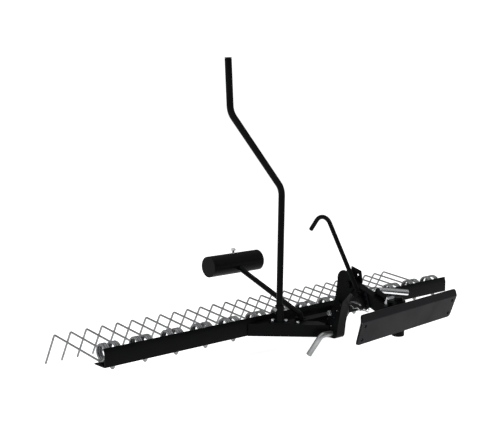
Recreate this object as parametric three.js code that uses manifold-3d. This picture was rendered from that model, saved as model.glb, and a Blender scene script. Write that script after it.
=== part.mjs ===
// Front-mounted lawn dethatcher: a spring-tine rake whose frame lifts about a hub pivot, on a tongue
// that swivels behind a mower's mounting plate. Millimetres, +X along the tine bar, +Y forward, +Z up.
// Shapes are laid out from the bar's rear bottom edge; the finished group is moved onto its stand point.
import * as THREE from "three";
import { mergeVertices } from "three/addons/utils/BufferGeometryUtils.js";
import Module from "manifold-3d";

const wasm = await Module();
wasm.setup();

// ---- driving dimensions -------------------------------------------------------------------------
const GAP = 0.4; // daylight left between neighbouring pieces
const BAR_LENGTH = 1397; // 55 in
const BAR_LEG = 50.8; // 2 in angle
const BAR_WALL = 3.2;
const BAR_LEAN = 4; // how far the upper lip of the rear leg leans forward
const PAIRS = 14;
const PAIR_PITCH = 101.6;
const BOLT_Y = 25.4; // tine bolts along the middle of the flange
const WIRE_R = 3;
const COIL_R = 22.2; // to the wire's centre
const COIL_TURNS = 3;
const COIL_PITCH = 6.3;
const COIL_Y = 42;
const TINE_X = 25.4; // tine arms either side of the bolt, so all tines stand 2 in apart
const TINE_KNEE = [272.8, 30.9]; // Y and Z where the arm turns down
const TINE_TIP = [325.2, -60.8];

const FRAME_DROP = 0.094; // the V-frame falls this much per millimetre towards the hub
const ARM_HEIGHT = 36;
const ARM_WALL = 4;
const ARM_FLANGE = 34;
const ARM_FOOT_X = 213; // where each arm meets the bar, from the hub's centre plane
const ARM_NOSE_Y = -130; // where each arm meets the hub
const CROSS_Y = -62;
const HUB_X = -8; // centre plane of hub, tongue and kingpin
const HUB_HALF = 16.2;
const HUB_WALL = 3.2;
const PIVOT = [-205, 155]; // Y and Z of the rake's lift pivot
const HITCH_HOLE = [-140, 2];
const DEPTH_HOLE = [-169.4, 94.4];
const SPARE_HOLES = [
  [-138.8, 25.1],
  [-149.5, 46.9],
  [-160.1, 68.9],
];

const TONGUE_SLOPE = THREE.MathUtils.degToRad(21.5);
const TONGUE_HALF = 12.7;
const TONGUE_TOP = 11; // above the pivot, square to the slope
const TONGUE_BOTTOM = -22.2;
const TONGUE_NOSE = -14; // along the slope from the pivot
const CLEVIS_FRONT_Y = -346;
const CLEVIS_WALL = 6;
const CLEVIS_HALF = 19;
const CLEVIS_BOTTOM = 58.7;
const CLEVIS_TOP = 135;
const KINGPIN_Y = -371;
const KINGPIN_R = 8;
const COLLAR_R = 17.5;
const BARREL_R = 17.5;
const PLATE_YAW = THREE.MathUtils.degToRad(5); // the plate is parked slightly turned
const PLATE_HALF = 222;
const PLATE_WALL = 6;
const PLATE_HOLE_R = 4.5;
const PLATE_PROFILE = [
  [-42.5, 139],
  [-46, 120],
  [-26, 57.5],
]; // rear face, Y from the kingpin and Z: top edge, fold, bottom edge

const PIN_R = 8; // 5/8 in pins
const LOCK_PIN_X = 10; // beside the centre plane
const LOCK_PIN_T = TONGUE_TOP + PIN_R + GAP;
const LOCK_PIN_BEND = 69;
const LOCK_PIN_TIP = 149;
const LEVER_R = 6.3;
const LEVER_X = -23.2; // from the centre plane
const LEVER_BOLT = [-250.6, 135];
const BOLT_R = 4;

const SOCKET = [-134.3, -39];
const SOCKET_R = 12.7;
const SOCKET_BORE = 10;
const SOCKET_TOP = 84;
const HANDLE_R = 9.5;
const HANDLE_BORE = 7.7;
const BALLAST_X = -61;
const BALLAST = [251, 157];
const BALLAST_R = 32.3;
const BALLAST_LENGTH = 202;
const BALLAST_FOOT = [-57, 45];
const BALLAST_ARM_R = 8;

// ---- materials ----------------------------------------------------------------------------------
const black = new THREE.MeshStandardMaterial({ color: 0x101113, roughness: 0.38, metalness: 0.3 });
const plateBlack = new THREE.MeshStandardMaterial({ color: 0x1b1c1f, roughness: 0.5, metalness: 0.3 });
const spring = new THREE.MeshStandardMaterial({ color: 0x8d9093, roughness: 0.35, metalness: 0.9 });
const zinc = new THREE.MeshStandardMaterial({ color: 0xaab0b5, roughness: 0.3, metalness: 0.95 });
const satinBar = new THREE.MeshStandardMaterial({ color: 0xb4b7ba, roughness: 0.38, metalness: 0.9 });
const chrome = new THREE.MeshStandardMaterial({ color: 0xc9ccce, roughness: 0.16, metalness: 1 });
const plastic = new THREE.MeshStandardMaterial({ color: 0x0c0c0d, roughness: 0.6, metalness: 0 });

// ---- shaping tools ------------------------------------------------------------------------------
// A closed geometry as a solid, turned outwards if its faces point in.
function solidOf(geometry) {
  const bare = geometry.clone();
  bare.deleteAttribute("normal");
  bare.deleteAttribute("uv");
  const merged = mergeVertices(bare, 1e-4);
  const triVerts = new Uint32Array(merged.index.array);
  const vertProperties = merged.attributes.position.array;
  const solid = new wasm.Manifold(new wasm.Mesh({ numProp: 3, vertProperties, triVerts }));
  if (solid.volume() >= 0) return solid;
  const flipped = triVerts.slice();
  for (let i = 0; i < flipped.length; i += 3) {
    flipped[i + 1] = triVerts[i + 2];
    flipped[i + 2] = triVerts[i + 1];
  }
  return new wasm.Manifold(new wasm.Mesh({ numProp: 3, vertProperties, triVerts: flipped }));
}

function geometryOf(solid) {
  const mesh = solid.getMesh();
  const geometry = new THREE.BufferGeometry();
  geometry.setAttribute("position", new THREE.BufferAttribute(mesh.vertProperties, 3));
  geometry.setIndex(new THREE.BufferAttribute(mesh.triVerts, 1));
  geometry.computeVertexNormals();
  return geometry;
}

function join(...geometries) {
  return geometryOf(geometries.map(solidOf).reduce((a, b) => a.add(b)));
}

function cut(geometry, ...tools) {
  return geometryOf(tools.map(solidOf).reduce((a, b) => a.subtract(b), solidOf(geometry)));
}

function common(a, b) {
  return geometryOf(solidOf(a).intersect(solidOf(b)));
}

function polygon(points) {
  return new THREE.Shape(points.map(([a, b]) => new THREE.Vector2(a, b)));
}

// An outline in X and Y, raised from z0 to z1.
function upright(outline, z0, z1) {
  const geometry = new THREE.ExtrudeGeometry(polygon(outline), { depth: z1 - z0, bevelEnabled: false });
  return geometry.translate(0, 0, z0);
}

// An outline in Y and Z, run along X from x0 to x1.
function sideways(outline, x0, x1) {
  const geometry = new THREE.ExtrudeGeometry(polygon(outline), { depth: x1 - x0, bevelEnabled: false });
  const turn = new THREE.Matrix4().makeBasis(
    new THREE.Vector3(0, 1, 0),
    new THREE.Vector3(0, 0, 1),
    new THREE.Vector3(1, 0, 0),
  );
  return geometry.applyMatrix4(turn).translate(x0, 0, 0);
}

function box(x0, x1, y0, y1, z0, z1) {
  const geometry = new THREE.BoxGeometry(x1 - x0, y1 - y0, z1 - z0);
  return geometry.translate((x0 + x1) / 2, (y0 + y1) / 2, (z0 + z1) / 2);
}

// A profile of [radius, distance] pairs turned about the line from `from` towards `to`.
function turned(profile, from, to, sides) {
  const outline = profile.map(([r, d]) => new THREE.Vector2(r, d));
  const geometry = new THREE.LatheGeometry(outline, sides);
  const along = new THREE.Vector3().subVectors(to, from).normalize();
  const turn = new THREE.Quaternion().setFromUnitVectors(new THREE.Vector3(0, 1, 0), along);
  return geometry.applyQuaternion(turn).translate(from.x, from.y, from.z);
}

function rod(from, to, radius, sides) {
  const length = from.distanceTo(to);
  const profile = [
    [0, 0],
    [radius, 0],
    [radius, length],
    [0, length],
  ];
  return turned(profile, from, to, sides);
}

// A hexagon-headed bolt and nut about a shank, as one clamped set: `grip` is the length between them.
function boltSet(seat, towards, grip, shank, head, headHeight, nutHeight, sides = 8) {
  const along = new THREE.Vector3().subVectors(towards, seat).normalize();
  const at = (d) => seat.clone().addScaledVector(along, d);
  return join(
    rod(at(-headHeight), at(0.01), head, 6),
    rod(at(0), at(grip + nutHeight + shank * 0.7), shank, sides),
    rod(at(grip), at(grip + nutHeight), head * 0.94, 6),
  );
}

// A route given by its own points, so that straights take one step and bends take several.
class Route extends THREE.Curve {
  constructor(points) {
    super();
    this.points = points;
  }
  getPointAt(u, target = new THREE.Vector3()) {
    return target.copy(this.points[Math.round(u * (this.points.length - 1))]);
  }
  getTangentAt(u, target = new THREE.Vector3()) {
    const last = this.points.length - 1;
    const i = Math.round(u * last);
    const before = this.points[Math.max(i - 1, 0)];
    const after = this.points[Math.min(i + 1, last)];
    return target.subVectors(after, before).normalize();
  }
}

function alongRoute(points, radius, sides) {
  const section = [];
  for (let k = 0; k < sides; k++) {
    const angle = (2 * Math.PI * k) / sides;
    section.push([radius * Math.cos(angle), radius * Math.sin(angle)]);
  }
  return new THREE.ExtrudeGeometry(polygon(section), {
    steps: points.length - 1,
    extrudePath: new Route(points),
  });
}

// Corner points with each inner corner rounded to its radius in `steps` steps.
function rounded(corners, radius, steps) {
  const points = [corners[0]];
  for (let i = 1; i < corners.length - 1; i++) {
    const back = new THREE.Vector3().subVectors(corners[i - 1], corners[i]).normalize();
    const ahead = new THREE.Vector3().subVectors(corners[i + 1], corners[i]).normalize();
    const half = back.angleTo(ahead) / 2;
    const reach = radius / Math.tan(half);
    const middle = back.clone().add(ahead).normalize();
    const centre = corners[i].clone().addScaledVector(middle, radius / Math.sin(half));
    const start = corners[i].clone().addScaledVector(back, reach).sub(centre);
    const end = corners[i].clone().addScaledVector(ahead, reach).sub(centre);
    const turn = Math.PI - 2 * half;
    for (let k = 0; k <= steps; k++) {
      const share = k / steps;
      const point = start.clone().multiplyScalar(Math.sin((1 - share) * turn) / Math.sin(turn));
      point.addScaledVector(end, Math.sin(share * turn) / Math.sin(turn));
      points.push(point.add(centre));
    }
  }
  points.push(corners.at(-1));
  return points;
}

// Points on an arc in a plane of two coordinates, degrees counted from the first axis.
function arc([a, b], radius, from, to, steps) {
  const points = [];
  for (let k = 0; k <= steps; k++) {
    const angle = THREE.MathUtils.degToRad(from + ((to - from) * k) / steps);
    points.push([a + radius * Math.cos(angle), b + radius * Math.sin(angle)]);
  }
  return points;
}

const V = (x, y, z) => new THREE.Vector3(x, y, z);
const dethatcher = new THREE.Group();

function add(name, geometry, material) {
  const mesh = new THREE.Mesh(geometry, material);
  mesh.name = name;
  dethatcher.add(mesh);
  return mesh;
}

// ---- tine bar: bent steel angle, rear leg with a soft fold, flange forward -----------------------
const FOLD_Z = 35;
const barProfile = [
  [0, 3],
  [0, FOLD_Z],
  [BAR_LEAN, BAR_LEG],
  [BAR_LEAN + BAR_WALL, BAR_LEG - 0.8],
  [BAR_WALL, FOLD_Z - 0.4],
  [BAR_WALL, BAR_WALL + 1.5],
  [BAR_WALL + 1.5, BAR_WALL],
  [BAR_LEG, BAR_WALL],
  [BAR_LEG, 0],
  [3, 0],
  [0.9, 0.9],
];
const pairX = (i) => (i - (PAIRS - 1) / 2) * PAIR_PITCH;
const barHoles = [];
for (let i = 0; i < PAIRS; i++) {
  barHoles.push(rod(V(pairX(i), BOLT_Y, -1), V(pairX(i), BOLT_Y, BAR_WALL + 1), BOLT_R + 0.6, 8));
}
add("tine_bar", cut(sideways(barProfile, -BAR_LENGTH / 2, BAR_LENGTH / 2), ...barHoles), black);

// ---- spring tines: one wire per pair, two coils joined by a loop round the bolt --------------------
const LOOP_Z = BAR_WALL + GAP + WIRE_R;
const LOOP_R = 8;
const COIL_Z = LOOP_Z + COIL_R; // the coils stand on the flange
const COIL_STEPS = 8; // per turn

// One side's wire from the tip to the inner end of its coil; side is -1 or 1.
function tineHalf(side) {
  const coilFoot = COIL_Z - COIL_R;
  const points = rounded(
    [V(side * TINE_X, ...TINE_TIP), V(side * TINE_X, ...TINE_KNEE), V(side * TINE_X, COIL_Y, coilFoot)],
    9,
    3,
  );
  for (let k = 1; k <= COIL_TURNS * COIL_STEPS; k++) {
    const turns = k / COIL_STEPS;
    const angle = -Math.PI / 2 - 2 * Math.PI * turns;
    const x = side * (TINE_X - turns * COIL_PITCH);
    points.push(V(x, COIL_Y + COIL_R * Math.cos(angle), COIL_Z + COIL_R * Math.sin(angle)));
  }
  return points;
}

function tineWire() {
  const loop = arc([0, BOLT_Y], LOOP_R, 180, 360, 4).map(([x, y]) => V(x, y, LOOP_Z));
  return [...tineHalf(-1), ...loop, ...tineHalf(1).reverse()];
}

const label = (i) => String(i + 1).padStart(2, "0");
for (let i = 0; i < PAIRS; i++) {
  add("spring_tine_" + label(i), alongRoute(tineWire(), WIRE_R, 5), spring).position.x = pairX(i);
}

// ---- tine bolts: head and clamp washer on the wire loop, nut under the flange ---------------------
const TINE_NUT_R = 7.2;
const TINE_NUT_FOOT = -7.6;
const TINE_BOLT_END = -14;
const TINE_WASHER_R = 9.2;
const TINE_HEAD_R = 6.2;
function tineBolt() {
  const washer = LOOP_Z + WIRE_R + GAP;
  const head = washer + 2;
  const profile = [
    [0, TINE_BOLT_END],
    [BOLT_R, TINE_BOLT_END],
    [BOLT_R, TINE_NUT_FOOT],
    [TINE_NUT_R, TINE_NUT_FOOT],
    [TINE_NUT_R, -GAP],
    [BOLT_R, -GAP],
    [BOLT_R, washer],
    [TINE_WASHER_R, washer],
    [TINE_WASHER_R, head],
    [TINE_HEAD_R, head],
    [TINE_HEAD_R, head + 5],
    [0, head + 5],
  ];
  return turned(profile, V(0, BOLT_Y, 0), V(0, BOLT_Y, 1), 6);
}
for (let i = 0; i < PAIRS; i++) {
  add("tine_bolt_" + label(i), tineBolt(), zinc).position.x = pairX(i);
}

// ---- V-frame: two folded arms and a cross-member, all falling a little towards the hub ------------
const fall = new THREE.Matrix4().set(1, 0, 0, 0, 0, 1, 0, 0, 0, FRAME_DROP, 1, 0, 0, 0, 0, 1);
const hubFaceX = HUB_HALF + GAP;
const armRun = new THREE.Vector2(ARM_FOOT_X - hubFaceX, ARM_NOSE_Y + GAP).normalize();
armRun.y = -Math.abs(armRun.y);
const armIn = new THREE.Vector2(-armRun.y, armRun.x);

// A point of the left arm's plan: `inset` inwards from its outer face, where it meets Y = y or X = x.
function armPoint(inset, { x, y }) {
  const start = new THREE.Vector2(-ARM_FOOT_X, -GAP).addScaledVector(armIn, inset);
  const travel = y === undefined ? (x - start.x) / armRun.x : (y - start.y) / armRun.y;
  return [start.x + armRun.x * travel, start.y + armRun.y * travel];
}

function armStrip(inset, z0, z1) {
  const plan = [
    armPoint(0, { y: -GAP }),
    armPoint(0, { x: -hubFaceX }),
    armPoint(inset, { x: -hubFaceX }),
    armPoint(inset, { y: -GAP }),
  ];
  return upright(plan, z0, z1);
}

const armBoltAt = armPoint(14, { x: -82 }); // frame bolt through the arm's top flange
const socketAlong = new THREE.Vector2(armRun.x, armRun.y).multiplyScalar(19);
const socketBolts = [-1, 1].map((s) => [SOCKET[0] + s * socketAlong.x, SOCKET[1] + s * socketAlong.y]);

function verticalHole([x, y], radius) {
  return rod(V(x, y, -20), V(x, y, 60), radius, 8);
}

function arm() {
  const web = armStrip(ARM_WALL, 0, ARM_HEIGHT);
  const flange = armStrip(ARM_FLANGE, ARM_HEIGHT - ARM_WALL, ARM_HEIGHT);
  return cut(join(web, flange), verticalHole(armBoltAt, BOLT_R + GAP)).applyMatrix4(fall);
}

const leftHoles = socketBolts.map((b) => verticalHole(b, BOLT_R + GAP));
add("left_arm", cut(arm().translate(HUB_X, 0, 0), ...leftHoles), black);
add("right_arm", geometryOf(solidOf(arm().scale(-1, 1, 1))).translate(HUB_X, 0, 0), black);

function crossMember() {
  const web = armPoint(ARM_WALL + GAP, { y: CROSS_Y })[0] + 2;
  const flange = armPoint(ARM_FLANGE + GAP, { y: CROSS_Y })[0] + 0.5;
  const flangeFar = armPoint(ARM_FLANGE + GAP, { y: CROSS_Y + 26 })[0];
  const under = ARM_HEIGHT - ARM_WALL - GAP;
  const apron = upright(
    [
      [flange, CROSS_Y],
      [-flange, CROSS_Y],
      [-flangeFar, CROSS_Y + 26],
      [flangeFar, CROSS_Y + 26],
    ],
    ARM_HEIGHT - ARM_WALL,
    ARM_HEIGHT,
  );
  const plain = join(box(web, -web, CROSS_Y, CROSS_Y + 4, 2, under), apron,
    box(flange, -flange, CROSS_Y, CROSS_Y + 4, under - 1, ARM_HEIGHT - 1));
  return plain.applyMatrix4(fall).translate(HUB_X, 0, 0);
}
add("cross_member", crossMember(), black);

// ---- hub: two side plates with a hole row, joined by a web round the rear -------------------------
const hubOutline = [
  [-108, -12],
  [-112, 18],
  [-127, 45],
  [-150, 92],
  ...arc([-186, 168], 25, -15, 95, 6),
  ...arc(PIVOT, 22, 110, 200, 4),
  [-181, 98],
  [-166, 31],
  [-162, 0],
  ...arc([-150, 0], 12, 210, 270, 2),
];
function sideHole([y, z], radius, sides = 10) {
  return rod(V(-120, y, z), V(60, y, z), radius, sides);
}
const hubHoles = [
  sideHole(PIVOT, 6.75),
  sideHole(HITCH_HOLE, PIN_R + GAP),
  sideHole(DEPTH_HOLE, 6.75),
  ...SPARE_HOLES.map((h) => sideHole(h, 4.6, 8)),
  sideHole([-133, 60], 4.4, 8),
];
const hubSides = [-1, 1].map((s) => {
  const inner = HUB_X + s * (HUB_HALF - HUB_WALL);
  const outer = HUB_X + s * HUB_HALF;
  return sideways(hubOutline, Math.min(inner, outer), Math.max(inner, outer));
});
// The web closes the hub's rear, and its top stands under the tongue as the stop of the lift.
const rearWeb = [
  [-150, -12],
  [-156, -10.4],
  [-160.4, -6],
  [-162, 0],
  [-166, 31],
  [-181, 98],
  [-205, 129],
  [-201, 129],
  [-177.6, 98.8],
  [-162.8, 31.5],
  [-158.8, 0.4],
  [-157.6, -4.2],
  [-154.4, -7.4],
  [-150, -8.8],
];
const webHalf = HUB_HALF - HUB_WALL / 2;
add(
  "hub_upright",
  cut(
    join(...hubSides, sideways(rearWeb, HUB_X - webHalf, HUB_X + webHalf)),
    ...hubHoles,
  ),
  black,
);

// ---- lift handle in its bolted socket -------------------------------------------------------------
const socketFoot = ARM_HEIGHT + GAP;
const SOCKET_WALL = 4;
const SOCKET_BOLT_Z = 73;
const socketCross = rod(
  V(SOCKET[0] - 36, SOCKET[1], SOCKET_BOLT_Z),
  V(SOCKET[0] + 36, SOCKET[1], SOCKET_BOLT_Z),
  3.6,
  8,
);
function socket() {
  const across = new THREE.Vector2(-armRun.y, armRun.x).multiplyScalar(15);
  const ends = [-1, 1].flatMap((s) => [-1, 1].map((t) => [s, s * t]));
  const foot = ends.map(([s, t]) => [
    SOCKET[0] + s * socketAlong.x * 1.5 + t * across.x,
    SOCKET[1] + s * socketAlong.y * 1.5 + t * across.y,
  ]);
  const plate = upright(foot, socketFoot, socketFoot + SOCKET_WALL).applyMatrix4(fall);
  const tube = rod(V(...SOCKET, socketFoot - 2), V(...SOCKET, SOCKET_TOP), SOCKET_R, 14);
  const bore = rod(V(...SOCKET, 20), V(...SOCKET, SOCKET_TOP + 1), SOCKET_BORE, 14);
  return cut(join(plate, tube), bore, socketCross, ...leftHoles);
}
add("handle_socket", socket(), black);

const handleCorners = [
  V(SOCKET[0], SOCKET[1], 39),
  V(SOCKET[0] + 0.1, SOCKET[1], 92),
  V(-126.8, SOCKET[1], 418),
  V(-316.8, SOCKET[1], 636),
  V(-323.8, SOCKET[1], 778),
];
const handleRoute = [handleCorners[0], ...rounded(handleCorners.slice(1), 52, 6)];
const boreRoute = handleRoute.map((point) => point.clone());
boreRoute[0].z -= 1;
boreRoute.at(-1).z += 1;
const handleTube = cut(
  alongRoute(handleRoute, HANDLE_R, 14),
  alongRoute(boreRoute, HANDLE_BORE, 8),
  socketCross,
);
add("lift_handle", handleTube, black);

const handleEnd = handleCorners.at(-1);
const handleBelow = handleEnd.clone().lerp(handleCorners.at(-2), 0.2);
const plugProfile = [
  [0, -3],
  [HANDLE_R, -3],
  [HANDLE_R, -GAP],
  [HANDLE_BORE - 1, -GAP],
  [HANDLE_BORE - 1, 16],
  [0, 16],
];
add("handle_end_plug", turned(plugProfile, handleEnd, handleBelow, 14), plastic);

const handleBoltHead = V(SOCKET[0] + SOCKET_R + GAP, SOCKET[1], SOCKET_BOLT_Z);
const handleBoltTail = V(-200, SOCKET[1], SOCKET_BOLT_Z);
const handleBolt = boltSet(handleBoltHead, handleBoltTail, 2 * (SOCKET_R + GAP), 3.1, 6.4, 4.5, 5.5);
add("handle_bolt", handleBolt, zinc);
const flangeUnder = (y) => ARM_HEIGHT - ARM_WALL + FRAME_DROP * (y - 7) - GAP;
socketBolts.forEach(([x, y], k) => {
  const seat = V(x, y, socketFoot + SOCKET_WALL + FRAME_DROP * (y + 7) + GAP);
  const set = boltSet(seat, V(x, y, 0), seat.z - flangeUnder(y), BOLT_R - 0.2, 5.9, 5, 6);
  add("socket_bolt_" + (k + 1), set, zinc);
});

// ---- frame bolts through the arms' top flanges, and the hub's cross bolt --------------------------
const armBoltTop = ARM_HEIGHT + FRAME_DROP * (armBoltAt[1] + 7) + GAP;
const frameBolt = (x) => {
  const grip = armBoltTop - flangeUnder(armBoltAt[1]);
  return boltSet(V(x, armBoltAt[1], armBoltTop), V(x, armBoltAt[1], 0), grip, BOLT_R - 0.2, 6.8, 5, 6);
};
add("frame_bolt_left", frameBolt(HUB_X + armBoltAt[0]), zinc);
add("frame_bolt_right", frameBolt(HUB_X - armBoltAt[0]), zinc);
const hubBoltSeat = V(HUB_X - HUB_HALF - GAP, -133, 60);
add("hub_cross_bolt", boltSet(hubBoltSeat, V(60, -133, 60), 2 * (HUB_HALF + GAP), 3.9, 7.4, 6, 6.5), zinc);

// ---- ballast: steel cylinder clamped on a round arm that rises forward ----------------------------
const ballastAt = V(BALLAST_X, ...BALLAST);
const ballastFoot = V(BALLAST_X, ...BALLAST_FOOT);
const ballastRise = new THREE.Vector3().subVectors(ballastAt, ballastFoot).normalize();
const crossTop = ARM_HEIGHT + FRAME_DROP * (CROSS_Y + 30) + GAP;
const armFoot = V(BALLAST_X, CROSS_Y + 11, crossTop);
function ballastArm() {
  const end = ballastAt.clone().addScaledVector(ballastRise, 24);
  const toFoot = (armFoot.y - ballastFoot.y) / ballastRise.y;
  const corner = ballastFoot.clone().addScaledVector(ballastRise, toFoot);
  const bent = rounded([armFoot.clone().add(V(0, 0, 1)), corner, end], 9, 3);
  const foot = box(BALLAST_X - 12, BALLAST_X + 12, CROSS_Y + 1, CROSS_Y + 24, crossTop, crossTop + 5);
  return join(foot, alongRoute(bent, BALLAST_ARM_R, 12));
}
add("ballast_arm", ballastArm(), black);

const ballastBody = rod(
  V(BALLAST_X - BALLAST_LENGTH / 2, ...BALLAST),
  V(BALLAST_X + BALLAST_LENGTH / 2, ...BALLAST),
  BALLAST_R,
  28,
);
const ballastBore = rod(
  ballastAt.clone().addScaledVector(ballastRise, -60),
  ballastAt.clone().addScaledVector(ballastRise, 60),
  BALLAST_ARM_R + GAP,
  12,
);
const setBoltHole = rod(ballastAt, ballastAt.clone().add(V(0, 0, 50)), BOLT_R + GAP, 8);
add("ballast_weight", cut(ballastBody, ballastBore, setBoltHole), black);
const setBoltProfile = [
  [0, BALLAST_ARM_R + 2.4],
  [BOLT_R, BALLAST_ARM_R + 2.4],
  [BOLT_R, BALLAST_R + 9],
  [8, BALLAST_R + 9],
  [8, BALLAST_R + 14.5],
  [0, BALLAST_R + 14.5],
];
add("ballast_set_bolt", turned(setBoltProfile, ballastAt, ballastAt.clone().add(V(0, 0, 1)), 6), zinc);

// ---- tongue: channel from the lift pivot down to the swivel clevis --------------------------------
// A point `s` down the slope from the pivot and `t` square above it, as [Y, Z].
function onTongue(s, t) {
  const run = Math.cos(TONGUE_SLOPE);
  const rise = Math.sin(TONGUE_SLOPE);
  return [PIVOT[0] - run * s - rise * t, PIVOT[1] - rise * s + run * t];
}
const tongueAt = (x, s, t) => V(HUB_X + x, ...onTongue(s, t));

// Distance down the slope at which height t meets the plane Y = y.
function slopeReach(y, t) {
  return (PIVOT[0] - Math.sin(TONGUE_SLOPE) * t - y) / Math.cos(TONGUE_SLOPE);
}

function tongueBeam() {
  const rear = CLEVIS_FRONT_Y + GAP;
  const outline = [
    onTongue(slopeReach(rear, TONGUE_TOP), TONGUE_TOP),
    onTongue(0, TONGUE_TOP),
    onTongue(-9, 9),
    onTongue(TONGUE_NOSE, 0),
    onTongue(-10, -10),
    onTongue(4, TONGUE_BOTTOM),
    onTongue(slopeReach(rear, TONGUE_BOTTOM), TONGUE_BOTTOM),
  ];
  const hollow = [onTongue(180, 10.8), onTongue(-30, 10.8), onTongue(-30, -40), onTongue(180, -40)];
  const inner = TONGUE_HALF - 3;
  return cut(
    sideways(outline, HUB_X - TONGUE_HALF, HUB_X + TONGUE_HALF),
    sideways(hollow, HUB_X - inner, HUB_X + inner),
    sideHole(PIVOT, 6.75),
    sideHole(LEVER_BOLT, 5.4),
  );
}
add("tongue_beam", tongueBeam(), black);

const pivotSeat = V(HUB_X - HUB_HALF - GAP, ...PIVOT);
const pivotGrip = 2 * HUB_HALF + 3 * GAP + 4;
add("pivot_bolt", boltSet(pivotSeat, V(60, ...PIVOT), pivotGrip, 6.35, 10.8, 7.5, 9.5, 12), black);

const tabOutline = [
  [-182, 138],
  [-184, 200],
  [-219, 191],
  [-225, 160],
  [-214, 136],
];
const tabX = HUB_X + HUB_HALF + GAP;
const tabHoles = [sideHole(PIVOT, 6.75), sideHole([-208, 178], 4, 8)];
add("pivot_tab", cut(sideways(tabOutline, tabX, tabX + 4), ...tabHoles), plateBlack);

// ---- swivel: clevis on the tongue, kingpin, barrel and mounting plate ------------------------------
function lug(z0, z1) {
  const outline = [
    [HUB_X - CLEVIS_HALF, CLEVIS_FRONT_Y - 1],
    ...arc([HUB_X, KINGPIN_Y], CLEVIS_HALF, 180, 360, 8),
    [HUB_X + CLEVIS_HALF, CLEVIS_FRONT_Y - 1],
  ];
  return upright(outline, z0, z1);
}
const lockPinLine = [tongueAt(LOCK_PIN_X, 90, LOCK_PIN_T), tongueAt(LOCK_PIN_X, 180, LOCK_PIN_T)];
const clevisWeb = box(
  HUB_X - CLEVIS_HALF,
  HUB_X + CLEVIS_HALF,
  CLEVIS_FRONT_Y - CLEVIS_WALL,
  CLEVIS_FRONT_Y,
  CLEVIS_BOTTOM,
  CLEVIS_TOP,
);
const webHole = common(
  rod(...lockPinLine, PIN_R + GAP, 12),
  box(-100, 100, CLEVIS_FRONT_Y - CLEVIS_WALL - 2, CLEVIS_FRONT_Y + 40, 0, 200),
);
add(
  "swivel_clevis",
  cut(
    join(clevisWeb, lug(CLEVIS_BOTTOM, CLEVIS_BOTTOM + 6), lug(CLEVIS_TOP - 6, CLEVIS_TOP)),
    rod(V(HUB_X, KINGPIN_Y, 40), V(HUB_X, KINGPIN_Y, 150), KINGPIN_R + GAP, 14),
    webHole,
  ),
  black,
);

const collarFoot = CLEVIS_BOTTOM - 20.7;
const KINGPIN_HEAD_R = 12;
const kingpinProfile = [
  [0, collarFoot],
  [COLLAR_R - 2, collarFoot],
  [COLLAR_R, collarFoot + 2],
  [COLLAR_R, CLEVIS_BOTTOM - GAP],
  [KINGPIN_R, CLEVIS_BOTTOM - GAP],
  [KINGPIN_R, CLEVIS_TOP + GAP],
  [KINGPIN_HEAD_R, CLEVIS_TOP + GAP],
  [KINGPIN_HEAD_R, CLEVIS_TOP + 7],
  [KINGPIN_HEAD_R - 3, CLEVIS_TOP + 9],
  [0, CLEVIS_TOP + 9],
];
add("kingpin", turned(kingpinProfile, V(HUB_X, KINGPIN_Y, 0), V(HUB_X, KINGPIN_Y, 1), 16), black);

// The plate's parts are laid out about the kingpin and then turned with it.
const mountHead = new THREE.Group();
mountHead.position.set(HUB_X, KINGPIN_Y, 0);
mountHead.rotation.z = PLATE_YAW;
dethatcher.add(mountHead);

const [plateTop, plateFold, plateFoot] = PLATE_PROFILE;
function plateFace(offset) {
  return PLATE_PROFILE.map(([y, z]) => [y + offset, z]);
}
const plateBlank = sideways([...plateFace(0), ...plateFace(PLATE_WALL).reverse()], -PLATE_HALF, PLATE_HALF);
const plateFront = [
  ...arc([-PLATE_HALF + 14, plateFoot[1] + 10], 10, 180, 270, 3),
  ...arc([PLATE_HALF - 14, plateFoot[1] + 10], 10, 270, 360, 3),
  [PLATE_HALF, plateFold[1]],
  ...arc([PLATE_HALF - 9, plateTop[1] - 7], 7, 0, 90, 3),
  ...arc([-PLATE_HALF + 9, plateTop[1] - 7], 7, 90, 180, 3),
  [-PLATE_HALF, plateFold[1]],
];
const plateTrim = new THREE.ExtrudeGeometry(polygon(plateFront), { depth: 80, bevelEnabled: false });
plateTrim.rotateX(Math.PI / 2);
const plateHoles = [-1, 1].flatMap((s) =>
  [
    [203, 108],
    [201, 71],
  ].map(([x, z]) => rod(V(s * x, -70, z), V(s * x, 10, z), PLATE_HOLE_R, 10)),
);
const mountPlate = new THREE.Mesh(cut(common(plateBlank, plateTrim), ...plateHoles), plateBlack);
mountPlate.name = "mount_plate";
mountHead.add(mountPlate);

function swivelBarrel() {
  const low = CLEVIS_BOTTOM + 6 + GAP;
  const high = CLEVIS_TOP - 6 - GAP;
  const inner = (z) => THREE.MathUtils.mapLinear(z, plateFoot[1], plateFold[1], plateFoot[0], plateFold[0]);
  const face = (z) => inner(z) + PLATE_WALL + GAP;
  const gusset = [
    [-10, 72],
    [face(72), 72],
    [face(118), 118],
    [-10, 118],
  ];
  const tube = rod(V(0, 0, low), V(0, 0, high), BARREL_R, 20);
  const bore = rod(V(0, 0, low - 1), V(0, 0, high + 1), KINGPIN_R + GAP, 14);
  return cut(join(tube, sideways(gusset, -14, -9), sideways(gusset, 9, 14)), bore);
}
const barrel = new THREE.Mesh(swivelBarrel(), black);
barrel.name = "swivel_barrel";
mountHead.add(barrel);

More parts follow.
